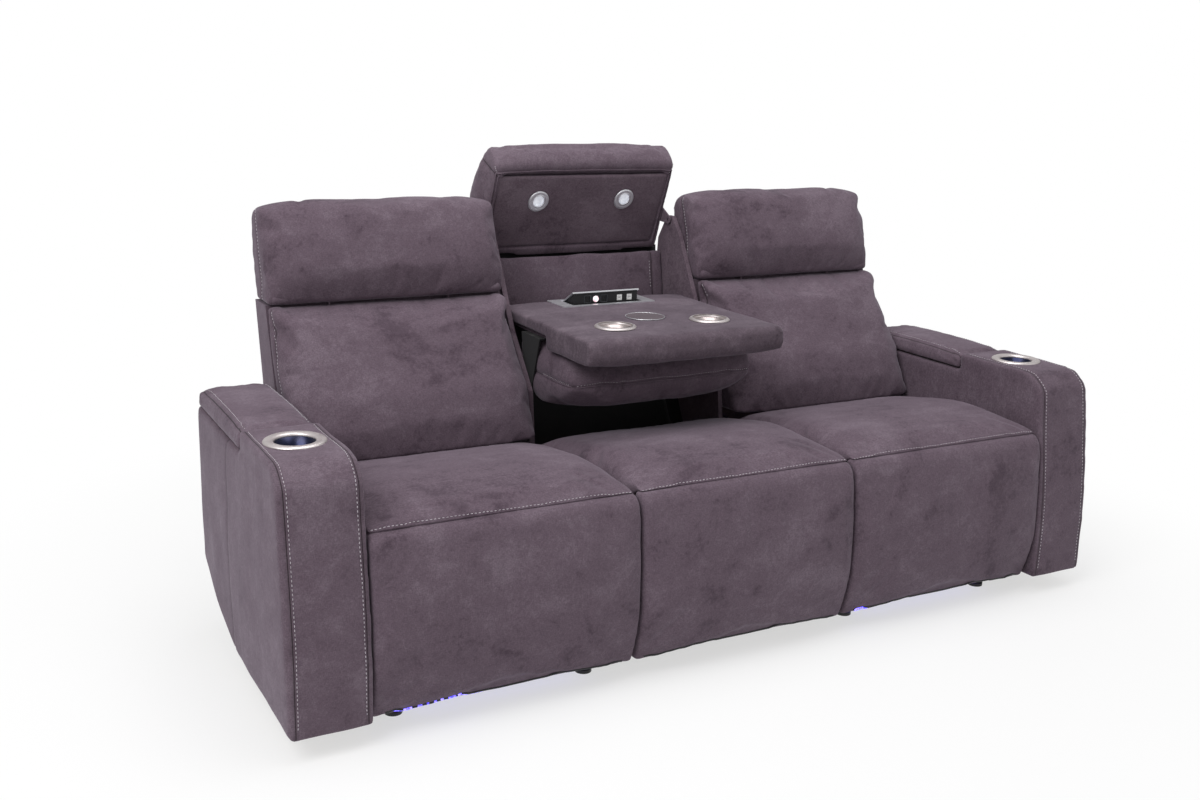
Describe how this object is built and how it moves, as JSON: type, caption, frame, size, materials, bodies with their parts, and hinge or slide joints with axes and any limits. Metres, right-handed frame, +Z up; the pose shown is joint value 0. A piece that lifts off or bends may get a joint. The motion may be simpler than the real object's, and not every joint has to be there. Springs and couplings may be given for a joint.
{
  "type": "console sofa",
  "caption": "Wide power reclining sofa with a middle back that folds down into a table with cup holders, a charging pad and an outlet strip under a raised headrest with reading lights.",
  "frame": {"origin": "on the floor, at the middle of the sofa's bounding box", "axes": "+X along the sofa to its right arm as seen from the front, +Y to the back, +Z up, the sofa faces -Y"},
  "size_m": [2.242, 1.0809, 1.1685],
  "materials": {
    "upholstery": "suede microfibre, brown-grey, with pale contrast stitching",
    "panel_upholstery": "dark suede microfibre",
    "wood": "raw plywood",
    "black_steel": "black powder coat",
    "bright_steel": "zinc plated",
    "cup_metal": "satin silver ring, dark blue inside",
    "silver_trim": "satin",
    "black_plastic": "matte black",
    "white_plastic": "light grey",
    "charger": "gloss black",
    "lit_button": "translucent, lit pinkish white",
    "diffuser": "opal",
    "blue_light": "lit blue"
  },
  "bodies": {
    "sofa_base": {"left_arm_cover": "upholstery", "right_arm_cover": "upholstery", "arm_frames": "wood", "storage_bins": "black_plastic", "arm_cup_holders": "cup_metal", "lid_hinges": "bright_steel", "base_frames": "black_steel", "feet": "black_plastic", "light_strips": "blue_light", "middle_seat_cushion": "upholstery", "middle_front_panel": "upholstery", "middle_seat_frame": "wood", "centre_back_frame": "black_steel", "centre_pivot_pins": "bright_steel", "centre_recess_panel": "upholstery"},
    "left_lid": {"left_lid_pad": "upholstery", "left_lid_board": "wood"},
    "left_carriage": {"left_seat_cushion": "upholstery", "left_seat_deck": "wood", "left_mechanism_plates": "black_steel", "left_drive_motor": "black_plastic"},
    "left_nut": {"left_drive_nut": "bright_steel"},
    "left_cranks": {"left_footrest_cranks": "black_steel"},
    "left_couplers": {"left_footrest_couplers": "black_steel"},
    "left_footrest": {"left_footrest_pad": "upholstery", "left_footrest_board": "wood"},
    "left_back": {"left_back_frame": "wood", "left_lumbar_cushion": "upholstery"},
    "left_headrest": {"left_headrest": "upholstery"},
    "right_lid": {"right_lid_pad": "upholstery", "right_lid_board": "wood"},
    "right_carriage": {"right_seat_cushion": "upholstery", "right_seat_deck": "wood", "right_mechanism_plates": "black_steel", "right_drive_motor": "black_plastic"},
    "right_nut": {"right_drive_nut": "bright_steel"},
    "right_cranks": {"right_footrest_cranks": "black_steel"},
    "right_couplers": {"right_footrest_couplers": "black_steel"},
    "right_footrest": {"right_footrest_pad": "upholstery", "right_footrest_board": "wood"},
    "right_back": {"right_back_frame": "wood", "right_lumbar_cushion": "upholstery"},
    "right_headrest": {"right_headrest": "upholstery"},
    "console": {"tray_cover": "upholstery", "tray_board": "wood", "console_arms": "black_steel", "console_cushion": "upholstery", "tray_cup_holders": "cup_metal", "charging_pad": "charger", "outlet_rim": "silver_trim", "outlet_well": "black_plastic"},
    "outlet_flap": {"outlet_lid": "silver_trim", "outlet_face": "black_plastic", "usb_ports": "white_plastic"},
    "outlet_button": {"outlet_button": "lit_button"},
    "centre_headrest": {"centre_headrest": "upholstery", "centre_light_panel": "panel_upholstery", "reading_light_bezels": "silver_trim", "reading_light_lenses": "diffuser", "centre_headrest_arms": "black_steel"}
  },
  "joints": [
    {"name": "left_recline", "type": "slide", "parent": "sofa_base", "child": "left_carriage", "axis": [0, -1, 0], "range_m": [0, 0.1]},
    {"name": "left_back_recline", "type": "hinge", "parent": "left_carriage", "child": "left_back", "pos_m": [-0.624, 0.11, 0.395], "axis": [-1, 0, 0], "range_deg": [0, 30.01]},
    {"name": "left_headrest_tilt", "type": "hinge", "parent": "left_back", "child": "left_headrest", "pos_m": [-0.624, 0.256, 0.81], "axis": [1, 0, 0], "range_deg": [0, 25]},
    {"name": "left_footrest", "type": "hinge", "parent": "left_carriage", "child": "left_footrest", "pos_m": [-0.624, -0.478, 0.412], "axis": [-1, 0, 0], "range_deg": [0, 85]},
    {"name": "left_crank", "type": "hinge", "parent": "left_carriage", "child": "left_cranks", "pos_m": [-0.624, -0.255, 0.317], "axis": [-1, 0, 0], "range_deg": [0, 85.01]},
    {"name": "left_coupler", "type": "hinge", "parent": "left_cranks", "child": "left_couplers", "pos_m": [-0.624, -0.211, 0.135], "axis": [-1, 0, 0], "range_deg": [-85.01, 0]},
    {"name": "left_drive", "type": "slide", "parent": "left_carriage", "child": "left_nut", "axis": [0, -1, 0], "range_m": [0, 0.12]},
    {"name": "left_arm_lid", "type": "hinge", "parent": "sofa_base", "child": "left_lid", "pos_m": [-1.0315, 0.2377, 0.5685], "axis": [-1, 0, 0], "range_deg": [0, 85]},
    {"name": "right_recline", "type": "slide", "parent": "sofa_base", "child": "right_carriage", "axis": [0, -1, 0], "range_m": [0, 0.1]},
    {"name": "right_back_recline", "type": "hinge", "parent": "right_carriage", "child": "right_back", "pos_m": [0.624, 0.11, 0.395], "axis": [-1, 0, 0], "range_deg": [0, 30.01]},
    {"name": "right_headrest_tilt", "type": "hinge", "parent": "right_back", "child": "right_headrest", "pos_m": [0.624, 0.256, 0.81], "axis": [1, 0, 0], "range_deg": [0, 25]},
    {"name": "right_footrest", "type": "hinge", "parent": "right_carriage", "child": "right_footrest", "pos_m": [0.624, -0.478, 0.412], "axis": [-1, 0, 0], "range_deg": [0, 85]},
    {"name": "right_crank", "type": "hinge", "parent": "right_carriage", "child": "right_cranks", "pos_m": [0.624, -0.255, 0.317], "axis": [-1, 0, 0], "range_deg": [0, 85.01]},
    {"name": "right_coupler", "type": "hinge", "parent": "right_cranks", "child": "right_couplers", "pos_m": [0.624, -0.211, 0.135], "axis": [-1, 0, 0], "range_deg": [-85.01, 0]},
    {"name": "right_drive", "type": "slide", "parent": "right_carriage", "child": "right_nut", "axis": [0, -1, 0], "range_m": [0, 0.12]},
    {"name": "right_arm_lid", "type": "hinge", "parent": "sofa_base", "child": "right_lid", "pos_m": [1.0315, 0.2377, 0.5685], "axis": [-1, 0, 0], "range_deg": [0, 85]},
    {"name": "console_fold", "type": "hinge", "parent": "sofa_base", "child": "console", "pos_m": [0, 0.134, 0.555], "axis": [-1, 0, 0], "range_deg": [0, 106]},
    {"name": "outlet_flap", "type": "hinge", "parent": "console", "child": "outlet_flap", "pos_m": [0, 0.298, 0.7433], "axis": [1, 0, 0], "range_deg": [0, 30]},
    {"name": "outlet_button", "type": "slide", "parent": "outlet_flap", "child": "outlet_button", "axis": [0, 1, 0], "range_m": [0, 0.0015], "stiffness_N_per_m": 300, "springref_m": -0.001},
    {"name": "centre_headrest_fold", "type": "hinge", "parent": "sofa_base", "child": "centre_headrest", "pos_m": [0, 0.387, 0.955], "axis": [1, 0, 0], "range_deg": [0, 142]}
  ],
  "couplings": [
    {"joint": "left_back_recline", "follows": "left_recline", "rad_per_m": 5.236},
    {"joint": "left_crank", "follows": "left_footrest", "ratio": 1},
    {"joint": "left_coupler", "follows": "left_footrest", "ratio": -1},
    {"joint": "left_drive", "follows": "left_footrest", "m_per_rad": 0.08},
    {"joint": "right_back_recline", "follows": "right_recline", "rad_per_m": 5.236},
    {"joint": "right_crank", "follows": "right_footrest", "ratio": 1},
    {"joint": "right_coupler", "follows": "right_footrest", "ratio": -1},
    {"joint": "right_drive", "follows": "right_footrest", "m_per_rad": 0.08}
  ]
}
